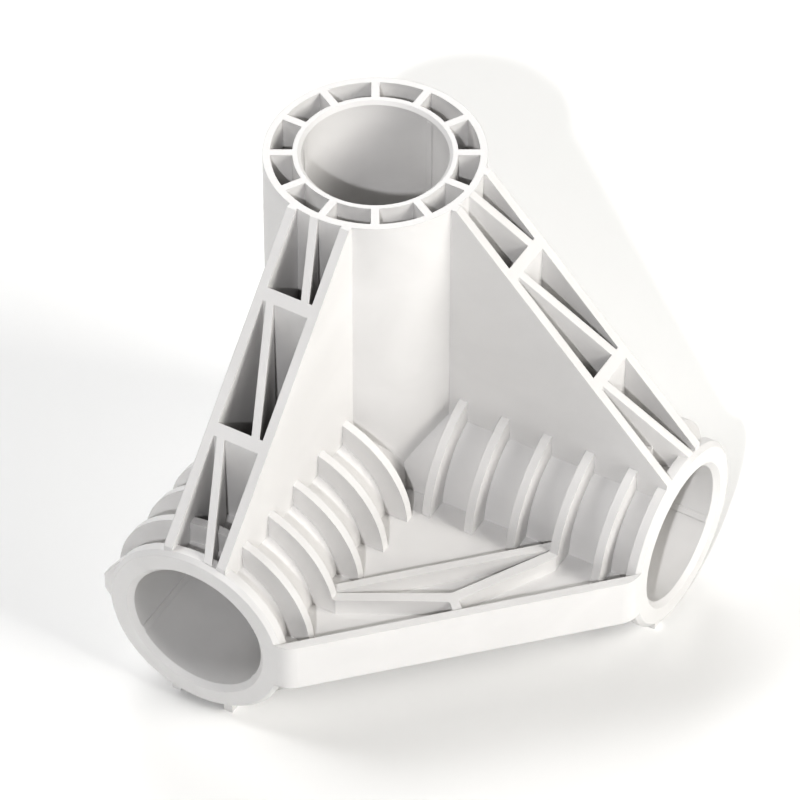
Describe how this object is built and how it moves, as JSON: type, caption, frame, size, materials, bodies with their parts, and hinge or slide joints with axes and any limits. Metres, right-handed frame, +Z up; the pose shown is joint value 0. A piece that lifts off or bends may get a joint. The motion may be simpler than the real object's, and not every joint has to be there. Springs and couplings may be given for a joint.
{
  "type": "three-way tube connector",
  "caption": "Corner connector with three round sockets at right angles for tube, ribbed gussets and a bracing web, moulded in one piece.",
  "frame": {"origin": "on the resting face, straight under the upright socket's centre line", "axes": "+X and +Y out of the two level sockets, +Z up and out of the upright socket"},
  "size_m": [0.1377, 0.1377, 0.137],
  "materials": {
    "moulded_plastic": "fine satin, as moulded"
  },
  "bodies": {
    "root": {"connector_moulding": "moulded_plastic"}
  },
  "joints": []
}
